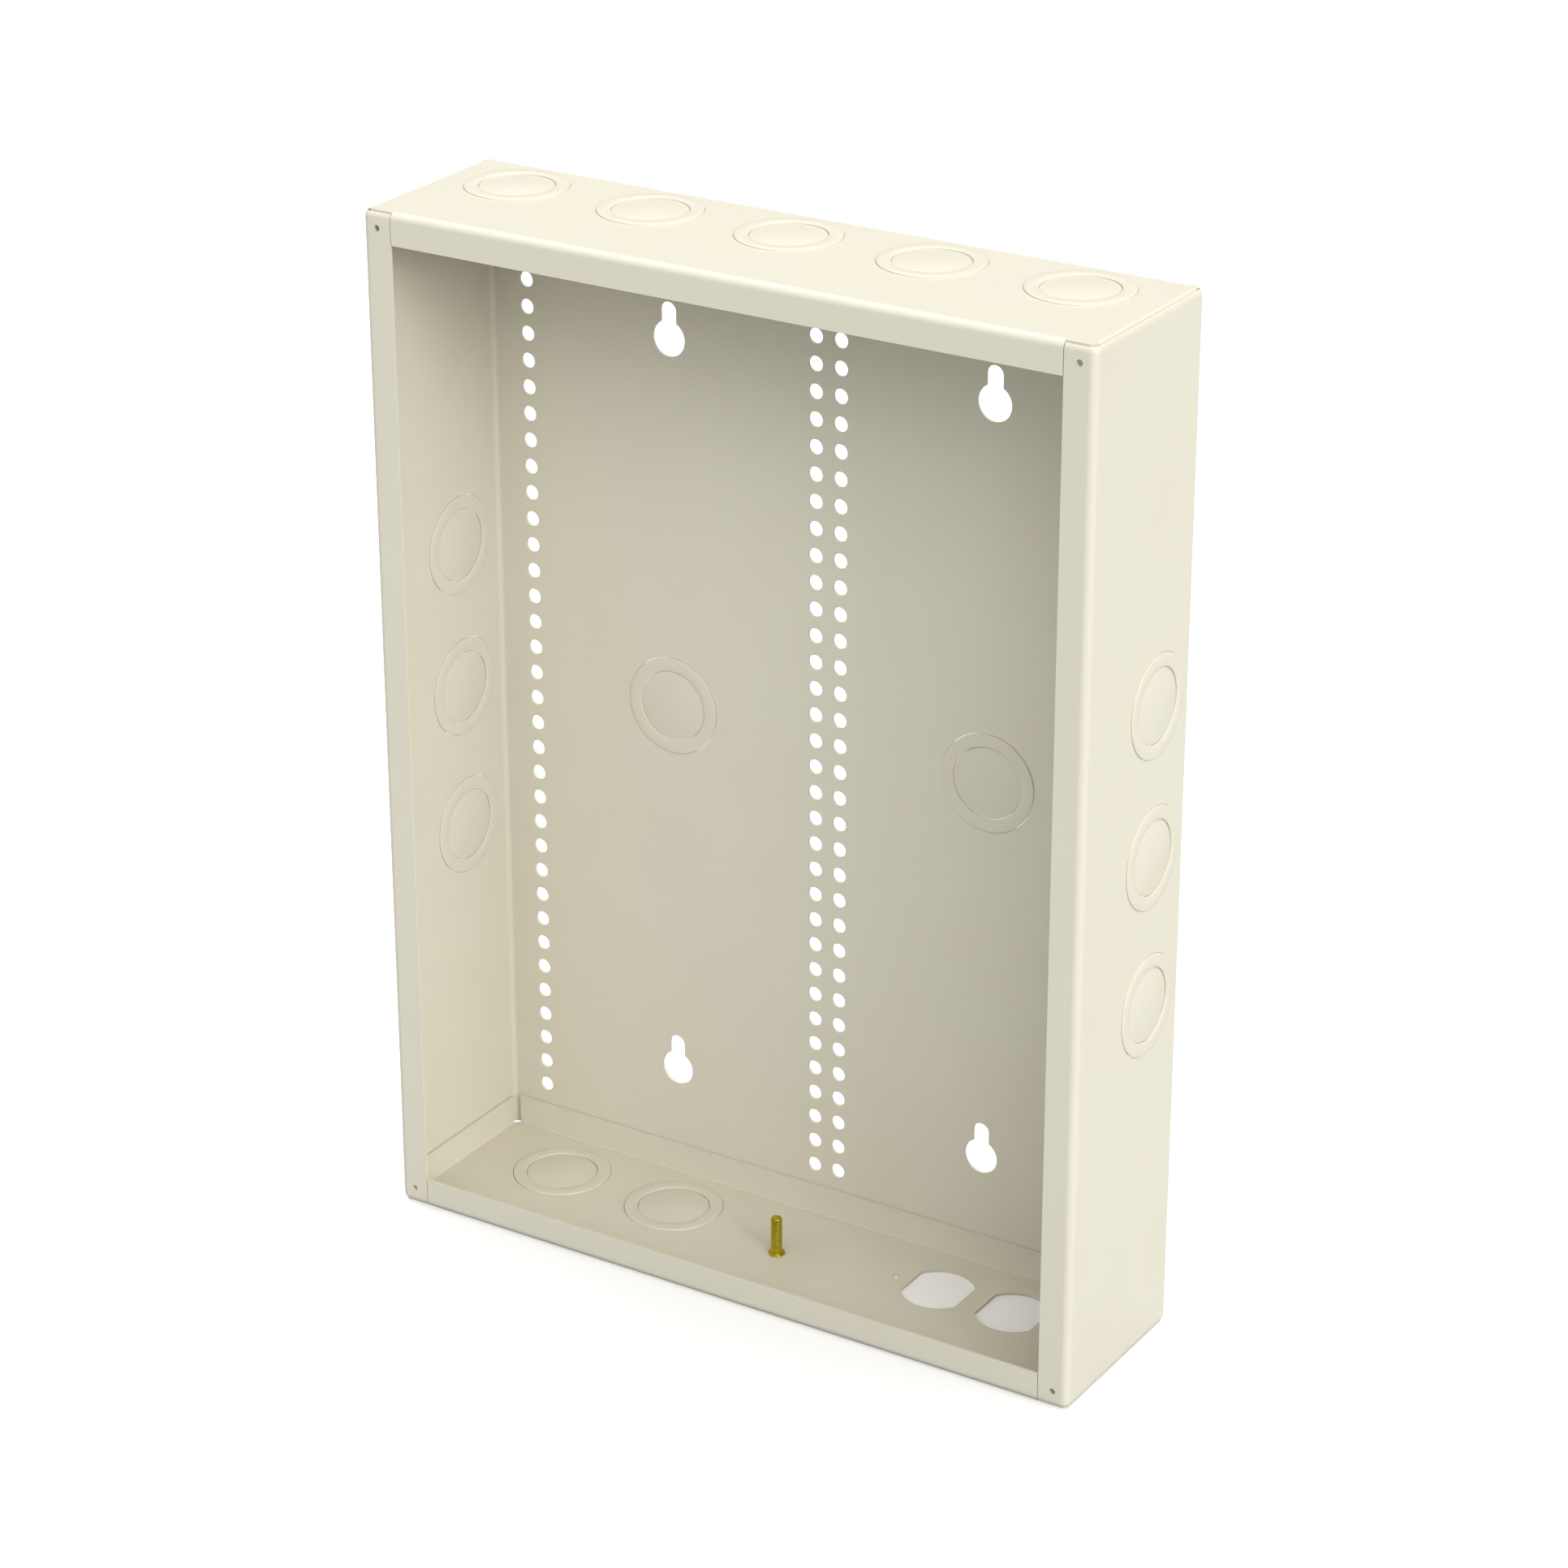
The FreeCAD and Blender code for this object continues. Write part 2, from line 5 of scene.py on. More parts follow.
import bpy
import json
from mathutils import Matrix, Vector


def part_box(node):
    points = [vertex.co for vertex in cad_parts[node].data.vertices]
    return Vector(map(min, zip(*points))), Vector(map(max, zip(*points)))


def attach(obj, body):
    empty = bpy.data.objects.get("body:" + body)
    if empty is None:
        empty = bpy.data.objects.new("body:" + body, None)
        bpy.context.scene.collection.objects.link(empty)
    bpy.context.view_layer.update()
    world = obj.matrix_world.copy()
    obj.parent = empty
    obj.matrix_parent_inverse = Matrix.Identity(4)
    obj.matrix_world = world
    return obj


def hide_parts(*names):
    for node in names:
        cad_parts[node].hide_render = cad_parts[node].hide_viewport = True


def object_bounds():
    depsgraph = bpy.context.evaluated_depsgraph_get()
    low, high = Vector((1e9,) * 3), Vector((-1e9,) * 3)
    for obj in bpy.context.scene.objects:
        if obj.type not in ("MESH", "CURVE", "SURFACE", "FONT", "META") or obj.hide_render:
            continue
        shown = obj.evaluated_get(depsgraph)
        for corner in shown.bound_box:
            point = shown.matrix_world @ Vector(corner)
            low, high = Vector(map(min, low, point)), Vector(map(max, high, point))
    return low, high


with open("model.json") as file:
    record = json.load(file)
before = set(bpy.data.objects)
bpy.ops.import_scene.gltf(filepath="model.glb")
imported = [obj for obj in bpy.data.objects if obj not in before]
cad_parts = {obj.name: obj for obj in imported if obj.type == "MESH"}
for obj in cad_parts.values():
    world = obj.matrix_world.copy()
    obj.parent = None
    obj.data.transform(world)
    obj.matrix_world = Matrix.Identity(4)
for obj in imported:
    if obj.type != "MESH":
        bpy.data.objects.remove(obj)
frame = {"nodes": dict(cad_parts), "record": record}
CAD_BOX = [list(corner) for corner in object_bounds()]

import json
import math

import bmesh
import bpy
from bpy.props import FloatProperty, FloatVectorProperty, IntProperty, PointerProperty
from mathutils import Matrix, Vector

bl_info = {
    "name": "Load Center Enclosure",
    "version": (1, 0, 0),
    "blender": (4, 5, 0),
    "location": "View3D > Sidebar > Load Center",
    "description": "Finishes the coated steel box, its knockouts and its ground stud, and lights them",
    "category": "Object",
}

MM = 0.001
SHEET_NODES = ("enclosure_wrap", "top_end_cap", "bottom_end_cap")
FLOOR_SEEN = 0.93
FLOOR_BOUNCE = 0.43
FLOOR_HALF_WIDTH = 12.0
CAMERA_AIM = Vector((4.6, -45.1, -2.9)) * MM
ROUGHNESS_DRIFT = 0.06
STUD_STEPS = 48
THREAD_STEPS = 40
# each bank's azimuth and elevation in degrees, and its share of the light
OVERHEAD_BANKS = (
    ("overhead_left", -120, 60, 0.60),
    ("overhead_right", 120, 60, 0.46),
)
KEY_BANKS = (
    ("side", 75, 20, 0.64),
    ("key", 45, 33, 0.40),
    ("front", 0, 50, 0.15),
    ("low_front", 0, 20, 0.11),
    ("left_side", -76, 15, 0.18),
    ("fill", -40, 35, 0.14),
)
OUTWARD = {
    "top": Vector((0, 0, 1)),
    "bottom": Vector((0, 0, -1)),
    "left": Vector((-1, 0, 0)),
    "right": Vector((1, 0, 0)),
    "back": Vector((0, 1, 0)),
}


# ---------------------------------------------------------------- settings


class FinishSettings(bpy.types.PropertyGroup):
    coat_color: FloatVectorProperty(
        name="Coat colour",
        description="Colour of the almond powder coat",
        subtype="COLOR",
        size=3,
        min=0.0,
        max=1.0,
        default=(0.628, 0.600, 0.497),
    )
    coat_shade: FloatVectorProperty(
        name="Coat shade",
        description="Slightly deeper colour where the powder lies thicker",
        subtype="COLOR",
        size=3,
        min=0.0,
        max=1.0,
        default=(0.616, 0.586, 0.480),
    )
    coat_roughness: FloatProperty(
        name="Coat roughness", description="Roughness of the powder coat", default=0.46, min=0.0, max=1.0
    )
    peel_size: FloatProperty(
        name="Orange peel size",
        description="Width of one ripple of the orange peel",
        default=1.6 * MM,
        unit="LENGTH",
    )
    peel_height: FloatProperty(
        name="Orange peel height",
        description="Height of the ripples",
        default=0.012 * MM,
        unit="LENGTH",
    )
    zinc_color: FloatVectorProperty(
        name="Zinc colour",
        description="Main colour of the yellow chromate on the stud",
        subtype="COLOR",
        size=3,
        min=0.0,
        max=1.0,
        default=(0.50, 0.41, 0.035),
    )


class EdgeSettings(bpy.types.PropertyGroup):
    punched_edge: FloatProperty(
        name="Punched edge",
        description="Rounding of the rims of the rings and slugs",
        default=0.40 * MM,
        unit="LENGTH",
    )
    kerf: FloatProperty(
        name="Kerf",
        description="Clear width of the cut between a slug and its ring",
        default=0.3 * MM,
        unit="LENGTH",
    )
    coat_build: FloatProperty(
        name="Coat build",
        description="Powder coat on a punched rim, which all but closes the cut",
        default=0.11 * MM,
        unit="LENGTH",
    )
    rim_steps: IntProperty(
        name="Rim steps", description="Steps round each knockout", default=120, min=24, max=256
    )


class StudSettings(bpy.types.PropertyGroup):
    shank_diameter: FloatProperty(
        name="Shank diameter",
        description="Diameter over the crests of the stud's thread",
        default=6.35 * MM,
        unit="LENGTH",
    )
    thread_pitch: FloatProperty(
        name="Thread pitch", description="Pitch of the stud's thread", default=1.27 * MM, unit="LENGTH"
    )
    thread_depth: FloatProperty(
        name="Thread depth", description="Depth of the stud's thread", default=0.60 * MM, unit="LENGTH"
    )
    collar_height: FloatProperty(
        name="Collar height", description="Height of the base flange", default=0.9 * MM, unit="LENGTH"
    )
    plain_length: FloatProperty(
        name="Plain length",
        description="Unthreaded length above the base flange",
        default=1.4 * MM,
        unit="LENGTH",
    )
    tip_length: FloatProperty(
        name="Tip length", description="Length of the chamfered tip", default=0.9 * MM, unit="LENGTH"
    )


class StageSettings(bpy.types.PropertyGroup):
    azimuth: FloatProperty(
        name="Azimuth",
        description="Camera's turn to the right of straight ahead",
        default=math.radians(32.05),
        subtype="ANGLE",
    )
    elevation: FloatProperty(
        name="Elevation",
        description="Camera's height above the level",
        default=math.radians(24.0),
        subtype="ANGLE",
    )
    roll: FloatProperty(
        name="Roll", description="Camera's tilt to the side", default=math.radians(0.09), subtype="ANGLE"
    )
    distance: FloatProperty(
        name="Distance", description="Camera's distance from its aim", default=1.9588, unit="LENGTH"
    )
    lens: FloatProperty(name="Lens", description="Focal length in millimetres", default=102.2)
    sky_strength: FloatProperty(
        name="Sky strength", description="Light that the white surroundings give", default=0.02
    )
    overhead_strength: FloatProperty(
        name="Overhead strength", description="Light from the banks above the box", default=1.0
    )
    key_strength: FloatProperty(
        name="Key strength", description="Light from the banks in front and at the sides", default=1.0
    )
    softness: FloatProperty(
        name="Softness",
        description="Width of each bank of lights, as an angle",
        default=math.radians(36),
        subtype="ANGLE",
    )


# ---------------------------------------------------------------- nodes


def add_node(tree, kind, place, **values):
    """A node at a place in its tree, with its properties set by name."""
    node = tree.nodes.new(kind)
    node.location = place
    for name, setting in values.items():
        setattr(node, name, setting)
    return node


def fill_inputs(node, values):
    """Set a node's unlinked inputs by name."""
    for name, setting in values.items():
        node.inputs[name].default_value = setting


def group_sockets(tree, inputs, outputs):
    """Name the group's sockets: each input is a name, a type and a default."""
    for name, kind, default in inputs:
        socket = tree.interface.new_socket(name, in_out="INPUT", socket_type=kind)
        if default is not None:
            socket.default_value = default
    for name, kind in outputs:
        tree.interface.new_socket(name, in_out="OUTPUT", socket_type=kind)


def make_peel_group():
    """Powder coat's orange peel: soft ripples, fine grain and a slow drift in thickness."""
    tree = bpy.data.node_groups.new("powder_orange_peel", "ShaderNodeTree")
    group_sockets(
        tree,
        [
            ("Peel Size", "NodeSocketFloat", 0.0016),
            ("Grain", "NodeSocketFloat", 0.25),
            ("Roughness", "NodeSocketFloat", 0.46),
            ("Roughness Drift", "NodeSocketFloat", ROUGHNESS_DRIFT),
        ],
        [
            ("Height", "NodeSocketFloat"),
            ("Thickness", "NodeSocketFloat"),
            ("Roughness", "NodeSocketFloat"),
        ],
    )
    given = add_node(tree, "NodeGroupInput", (-900, 0))
    made = add_node(tree, "NodeGroupOutput", (700, 0))
    place = add_node(tree, "ShaderNodeTexCoord", (-900, -300))
    scale = add_node(tree, "ShaderNodeMath", (-700, 100), operation="DIVIDE")
    scale.inputs[0].default_value = 1.0
    tree.links.new(given.outputs["Peel Size"], scale.inputs[1])

    ripples = add_node(tree, "ShaderNodeTexNoise", (-480, 160))
    fill_inputs(ripples, {"Detail": 1.5, "Roughness": 0.45})
    tree.links.new(place.outputs["Object"], ripples.inputs["Vector"])
    tree.links.new(scale.outputs[0], ripples.inputs["Scale"])

    fine = add_node(tree, "ShaderNodeMath", (-700, -60), operation="MULTIPLY")
    fine.inputs[1].default_value = 4.3
    tree.links.new(scale.outputs[0], fine.inputs[0])
    grain = add_node(tree, "ShaderNodeTexNoise", (-480, -60))
    fill_inputs(grain, {"Detail": 2.0, "Roughness": 0.6})
    tree.links.new(place.outputs["Object"], grain.inputs["Vector"])
    tree.links.new(fine.outputs[0], grain.inputs["Scale"])

    height = add_node(tree, "ShaderNodeMix", (-200, 100), data_type="FLOAT")
    tree.links.new(given.outputs["Grain"], height.inputs["Factor"])
    tree.links.new(ripples.outputs[0], height.inputs[2])
    tree.links.new(grain.outputs[0], height.inputs[3])
    tree.links.new(height.outputs[0], made.inputs["Height"])

    drift = add_node(tree, "ShaderNodeTexNoise", (-480, -300))
    fill_inputs(drift, {"Scale": 22.0, "Detail": 3.0, "Roughness": 0.55})
    tree.links.new(place.outputs["Object"], drift.inputs["Vector"])
    spread = add_node(tree, "ShaderNodeMapRange", (-240, -300))
    fill_inputs(spread, {"From Min": 0.3, "From Max": 0.7})
    tree.links.new(drift.outputs[0], spread.inputs["Value"])
    tree.links.new(spread.outputs[0], made.inputs["Thickness"])

    centred = add_node(tree, "ShaderNodeMath", (0, -300), operation="SUBTRACT")
    centred.inputs[1].default_value = 0.5
    tree.links.new(spread.outputs[0], centred.inputs[0])
    rough = add_node(tree, "ShaderNodeMath", (220, -200), operation="MULTIPLY_ADD", use_clamp=True)
    tree.links.new(centred.outputs[0], rough.inputs[0])
    tree.links.new(given.outputs["Roughness Drift"], rough.inputs[1])
    tree.links.new(given.outputs["Roughness"], rough.inputs[2])
    tree.links.new(rough.outputs[0], made.inputs["Roughness"])
    return tree


def new_material(name):
    """A material with an empty tree but for its shader and its output."""
    material = bpy.data.materials.new(name)
    material.use_nodes = True
    tree = material.node_tree
    tree.nodes.clear()
    shader = add_node(tree, "ShaderNodeBsdfPrincipled", (300, 0))
    output = add_node(tree, "ShaderNodeOutputMaterial", (620, 0))
    tree.links.new(shader.outputs["BSDF"], output.inputs["Surface"])
    return material, tree, shader


def link_bump(tree, shader, height, distance, strength):
    bump = add_node(tree, "ShaderNodeBump", (60, -320))
    fill_inputs(bump, {"Strength": strength, "Distance": distance})
    tree.links.new(height, bump.inputs["Height"])
    tree.links.new(bump.outputs["Normal"], shader.inputs["Normal"])


def make_coat(name, peel, grain, roughness):
    """Almond powder coat: two close colours by thickness, and the orange peel as bump."""
    settings = bpy.context.scene.finish_settings
    material, tree, shader = new_material(name)
    effect = add_node(tree, "ShaderNodeGroup", (-420, -100), node_tree=peel)
    fill_inputs(
        effect,
        {
            "Peel Size": settings.peel_size,
            "Grain": grain,
            "Roughness": roughness,
            "Roughness Drift": ROUGHNESS_DRIFT,
        },
    )
    tint = add_node(tree, "ShaderNodeMix", (-60, 120), data_type="RGBA")
    tint.inputs[6].default_value = (*settings.coat_color, 1.0)
    tint.inputs[7].default_value = (*settings.coat_shade, 1.0)
    tree.links.new(effect.outputs["Thickness"], tint.inputs["Factor"])
    tree.links.new(tint.outputs[2], shader.inputs["Base Color"])
    tree.links.new(effect.outputs["Roughness"], shader.inputs["Roughness"])
    link_bump(tree, shader, effect.outputs["Height"], settings.peel_height, 0.8)
    return material


def make_zinc():
    """Yellow chromate over zinc: a metal whose film drifts from straw to olive."""
    settings = bpy.context.scene.finish_settings
    material, tree, shader = new_material("yellow_zinc")
    place = add_node(tree, "ShaderNodeTexCoord", (-900, 0))
    film = add_node(tree, "ShaderNodeTexNoise", (-680, 120))
    fill_inputs(film, {"Scale": 420.0, "Detail": 3.0, "Roughness": 0.6, "Distortion": 0.6})
    tree.links.new(place.outputs["Object"], film.inputs["Vector"])
    colors = add_node(tree, "ShaderNodeValToRGB", (-440, 140))
    ramp = colors.color_ramp
    ramp.elements[0].position = 0.30
    ramp.elements[0].color = (0.40, 0.35, 0.02, 1.0)
    ramp.elements[1].position = 0.70
    ramp.elements[1].color = (0.60, 0.48, 0.06, 1.0)
    middle = ramp.elements.new(0.5)
    middle.color = (*settings.zinc_color, 1.0)
    tree.links.new(film.outputs[0], colors.inputs["Fac"])
    tree.links.new(colors.outputs["Color"], shader.inputs["Base Color"])
    wear = add_node(tree, "ShaderNodeMapRange", (-440, -140))
    fill_inputs(wear, {"From Min": 0.3, "From Max": 0.7, "To Min": 0.24, "To Max": 0.42})
    tree.links.new(film.outputs[0], wear.inputs["Value"])
    tree.links.new(wear.outputs[0], shader.inputs["Roughness"])
    shader.inputs["Metallic"].default_value = 1.0
    grain = add_node(tree, "ShaderNodeTexNoise", (-680, -320))
    fill_inputs(grain, {"Scale": 5200.0, "Detail": 2.0})
    tree.links.new(place.outputs["Object"], grain.inputs["Vector"])
    link_bump(tree, shader, grain.outputs[0], 0.01 * MM, 0.5)
    return material


def make_floor_paint():
    """Plain pale studio floor that throws back less light than it shows, as if it lay further off."""
    material, tree, shader = new_material("pale_floor")
    shader.inputs["Roughness"].default_value = 0.9
    shader.inputs["Specular IOR Level"].default_value = 0.1
    rays = add_node(tree, "ShaderNodeLightPath", (-420, 100))
    tone = add_node(tree, "ShaderNodeMix", (-120, 60), data_type="RGBA")
    tone.inputs[6].default_value = (*[FLOOR_BOUNCE] * 3, 1.0)
    tone.inputs[7].default_value = (*[FLOOR_SEEN] * 3, 1.0)
    tree.links.new(rays.outputs["Is Camera Ray"], tone.inputs["Factor"])
    tree.links.new(tone.outputs[2], shader.inputs["Base Color"])
    return material


# ---------------------------------------------------------------- geometry nodes


def new_geometry_tree(name, inputs):
    tree = bpy.data.node_groups.new(name, "GeometryNodeTree")
    tree.is_modifier = True
    group_sockets(tree, inputs, [("Geometry", "NodeSocketGeometry")])
    given = add_node(tree, "NodeGroupInput", (-1200, 0))
    made = add_node(tree, "NodeGroupOutput", (1200, 0))
    return tree, given, made


def finish_tree(tree, given, made, shape):
    """End a tree in Realize Instances and Set Material."""
    solid = add_node(tree, "GeometryNodeRealizeInstances", (780, 0))
    paint = add_node(tree, "GeometryNodeSetMaterial", (980, 0))
    tree.links.new(shape, solid.inputs["Geometry"])
    tree.links.new(solid.outputs["Geometry"], paint.inputs["Geometry"])
    tree.links.new(given.outputs["Material"], paint.inputs["Material"])
    tree.links.new(paint.outputs["Geometry"], made.inputs["Geometry"])


def math_node(tree, operation, place, *terms):
    """A math node whose terms are sockets or plain numbers; gives its result's socket."""
    node = add_node(tree, "ShaderNodeMath", place, operation=operation)
    for slot, term in zip(node.inputs, terms):
        if isinstance(term, (int, float)):
            slot.default_value = term
        else:
            tree.links.new(term, slot)
    return node.outputs[0]


def make_disc_tree():
    """A pressed ring, or a slug if its inner radius is 0: a rounded section swept round the axis."""
    tree, given, made = new_geometry_tree(
        "pressed_disc",
        [
            ("Outer Radius", "NodeSocketFloat", 23.2 * MM),
            ("Inner Radius", "NodeSocketFloat", 17.1 * MM),
            ("Thickness", "NodeSocketFloat", 1.2 * MM),
            ("Edge", "NodeSocketFloat", 0.40 * MM),
            ("Steps", "NodeSocketInt", 120),
            ("Material", "NodeSocketMaterial", None),
        ],
    )
    outer = given.outputs["Outer Radius"]
    inner = given.outputs["Inner Radius"]
    width = math_node(tree, "SUBTRACT", (-960, 200), outer, inner)
    total = math_node(tree, "ADD", (-960, 20), outer, inner)
    middle = math_node(tree, "MULTIPLY", (-780, 20), total, 0.5)

    section = add_node(tree, "GeometryNodeCurvePrimitiveQuadrilateral", (-560, 220))
    tree.links.new(width, section.inputs["Width"])
    tree.links.new(given.outputs["Thickness"], section.inputs["Height"])

    # corners on the axis stay square, so that a slug closes flat at its centre
    position = add_node(tree, "GeometryNodeInputPosition", (-960, -200))
    split = add_node(tree, "ShaderNodeSeparateXYZ", (-780, -200))
    tree.links.new(position.outputs[0], split.inputs[0])
    on_rim = math_node(tree, "GREATER_THAN", (-600, -200), split.outputs["X"], 0.0)
    hollow = math_node(tree, "GREATER_THAN", (-600, -380), inner, 0.0)
    rounded = math_node(tree, "MAXIMUM", (-420, -280), on_rim, hollow)
    radius = math_node(tree, "MULTIPLY", (-240, -240), rounded, given.outputs["Edge"])
    soften = add_node(tree, "GeometryNodeFilletCurve", (-60, 200), mode="POLY")
    fill_inputs(soften, {"Count": 3, "Limit Radius": True})
    tree.links.new(section.outputs["Curve"], soften.inputs["Curve"])
    tree.links.new(radius, soften.inputs["Radius"])

    path = add_node(tree, "GeometryNodeCurvePrimitiveCircle", (-60, -60))
    tree.links.new(given.outputs["Steps"], path.inputs["Resolution"])
    tree.links.new(middle, path.inputs["Radius"])
    upright = add_node(tree, "GeometryNodeSetCurveNormal", (140, -60))
    upright.mode = "Z_UP"
    tree.links.new(path.outputs["Curve"], upright.inputs["Curve"])
    sweep = add_node(tree, "GeometryNodeCurveToMesh", (340, 60))
    tree.links.new(upright.outputs["Curve"], sweep.inputs["Curve"])
    tree.links.new(soften.outputs["Curve"], sweep.inputs["Profile Curve"])
    weld = add_node(tree, "GeometryNodeMergeByDistance", (540, 60))
    weld.inputs["Distance"].default_value = 0.002 * MM
    tree.links.new(sweep.outputs["Mesh"], weld.inputs["Geometry"])
    finish_tree(tree, given, made, weld.outputs["Geometry"])
    return tree


def make_thread_tree():
    """The helical ridge of a screw thread, tapered away at both ends."""
    tree, given, made = new_geometry_tree(
        "screw_thread",
        [
            ("Root Radius", "NodeSocketFloat", 2.575 * MM),
            ("Depth", "NodeSocketFloat", 0.60 * MM),
            ("Pitch", "NodeSocketFloat", 1.27 * MM),
            ("Length", "NodeSocketFloat", 16.0 * MM),
            ("Steps", "NodeSocketInt", THREAD_STEPS),
            ("Material", "NodeSocketMaterial", None),
        ],
    )
    turns = math_node(
        tree, "DIVIDE", (-960, 200), given.outputs["Length"], given.outputs["Pitch"]
    )
    helix = add_node(tree, "GeometryNodeCurveSpiral", (-700, 160))
    tree.links.new(given.outputs["Steps"], helix.inputs["Resolution"])
    tree.links.new(turns, helix.inputs["Rotations"])
    tree.links.new(given.outputs["Root Radius"], helix.inputs["Start Radius"])
    tree.links.new(given.outputs["Root Radius"], helix.inputs["End Radius"])
    tree.links.new(given.outputs["Length"], helix.inputs["Height"])
    upright = add_node(tree, "GeometryNodeSetCurveNormal", (-480, 160))
    upright.mode = "Z_UP"
    tree.links.new(helix.outputs["Curve"], upright.inputs["Curve"])

    # the ridge is as wide as the pitch at its root and has a narrow flat crest
    half_pitch = math_node(tree, "MULTIPLY", (-960, -120), given.outputs["Pitch"], 0.47)
    half_crest = math_node(tree, "MULTIPLY", (-960, -300), given.outputs["Pitch"], 0.07)
    section = add_node(tree, "GeometryNodeCurvePrimitiveQuadrilateral", (-480, -160), mode="POINTS")
    sunk = -0.05 * MM
    for slot, across, up, sign in (
        ("Point 1", sunk, half_pitch, -1.0),
        ("Point 2", given.outputs["Depth"], half_crest, -1.0),
        ("Point 3", given.outputs["Depth"], half_crest, 1.0),
        ("Point 4", sunk, half_pitch, 1.0),
    ):
        corner = add_node(tree, "ShaderNodeCombineXYZ", (-700, -160))
        if isinstance(across, float):
            corner.inputs["X"].default_value = across
        else:
            tree.links.new(across, corner.inputs["X"])
        tree.links.new(math_node(tree, "MULTIPLY", (-820, -200), up, sign), corner.inputs["Y"])
        tree.links.new(corner.outputs[0], section.inputs[slot])

    # the first and last turn run out into the core
    along = add_node(tree, "GeometryNodeSplineParameter", (-480, -420))
    from_end = math_node(tree, "SUBTRACT", (-300, -480), 1.0, along.outputs["Factor"])
    nearest = math_node(tree, "MINIMUM", (-140, -440), along.outputs["Factor"], from_end)
    grown = math_node(tree, "MULTIPLY", (20, -440), nearest, turns)
    taper = add_node(tree, "ShaderNodeClamp", (180, -440))
    tree.links.new(grown, taper.inputs["Value"])
    taper.inputs["Min"].default_value = 0.05
    sweep = add_node(tree, "GeometryNodeCurveToMesh", (380, 60))
    sweep.inputs["Fill Caps"].default_value = True
    tree.links.new(upright.outputs["Curve"], sweep.inputs["Curve"])
    tree.links.new(section.outputs["Curve"], sweep.inputs["Profile Curve"])
    tree.links.new(taper.outputs[0], sweep.inputs["Scale"])
    finish_tree(tree, given, made, sweep.outputs["Mesh"])
    return tree


def grow(tree, name, values):
    """Run a geometry tree once with these inputs and keep the result as a plain mesh object."""
    carrier = bpy.data.objects.new(name, bpy.data.meshes.new(name))
    bpy.context.collection.objects.link(carrier)
    modifier = carrier.modifiers.new(tree.name, "NODES")
    modifier.node_group = tree
    for item in tree.interface.items_tree:
        if item.item_type == "SOCKET" and item.in_out == "INPUT" and item.name in values:
            modifier[item.identifier] = values[item.name]
    bpy.context.view_layer.update()
    evaluated = carrier.evaluated_get(bpy.context.evaluated_depsgraph_get())
    mesh = bpy.data.meshes.new_from_object(evaluated)
    carrier.modifiers.remove(modifier)
    carrier.data = mesh
    mesh.name = name
    return carrier


# ---------------------------------------------------------------- mesh work


def set_mesh(name, shape, material):
    """Turn finished bmesh work into an object with one material."""
    mesh = bpy.data.meshes.new(name)
    shape.to_mesh(mesh)
    shape.free()
    mesh.materials.append(material)
    piece = bpy.data.objects.new(name, mesh)
    bpy.context.collection.objects.link(piece)
    return piece


def face_out(piece):
    """Merge doubles and turn every face outwards."""
    shape = bmesh.new()
    shape.from_mesh(piece.data)
    bmesh.ops.remove_doubles(shape, verts=shape.verts, dist=0.001 * MM)
    bmesh.ops.recalc_face_normals(shape, faces=shape.faces)
    shape.to_mesh(piece.data)
    shape.free()


def smooth_by_angle(piece, degrees):
    """Shade smooth, but keep edges sharper than the angle crisp."""
    piece.data.shade_smooth()
    piece.data.set_sharp_from_angle(angle=math.radians(degrees))


def turned(outline, steps):
    """A solid of revolution about Z from (radius, height) points that start and end on the axis."""
    shape = bmesh.new()
    rings = []
    for radius, height in outline:
        if radius < 1e-7:
            rings.append([shape.verts.new((0, 0, height))])
            continue
        ring = []
        for step in range(steps):
            angle = 2 * math.pi * step / steps
            ring.append(shape.verts.new((radius * math.cos(angle), radius * math.sin(angle), height)))
        rings.append(ring)
    for low, high in zip(rings, rings[1:]):
        for step in range(steps):
            after = (step + 1) % steps
            corners = [low[step % len(low)], low[after % len(low)]]
            corners += [high[after % len(high)], high[step % len(high)]]
            unique = list(dict.fromkeys(corners))
            shape.faces.new(unique)
    bmesh.ops.recalc_face_normals(shape, faces=shape.faces)
    return shape


def direction(azimuth, elevation):
    """The way towards something seen from the box: azimuth 0 is straight in front of it."""
    level = math.cos(elevation)
    return Vector((math.sin(azimuth) * level, -math.cos(azimuth) * level, math.sin(elevation)))


# ---------------------------------------------------------------- operators


class LOADCENTER_OT_finishes(bpy.types.Operator):
    """Make the powder coats, the yellow zinc and the floor paint"""

    bl_idname = "loadcenter.finishes"
    bl_label = "Finishes"

    def execute(self, context):
        settings = context.scene.finish_settings
        peel = make_peel_group()
        make_coat("almond_coat", peel, 0.25, settings.coat_roughness)
        make_coat("almond_coat_punched", peel, 0.35, settings.coat_roughness + 0.03)
        make_zinc()
        make_floor_paint()
        return {"FINISHED"}


class LOADCENTER_OT_sheets(bpy.types.Operator):
    """Coat the wrap and the two end caps"""

    bl_idname = "loadcenter.sheets"
    bl_label = "Sheets"

    def execute(self, context):
        coat = bpy.data.materials["almond_coat"]
        for name in SHEET_NODES:
            node = frame["nodes"][name]
            node.data.materials.clear()
            node.data.materials.append(coat)
        return {"FINISHED"}


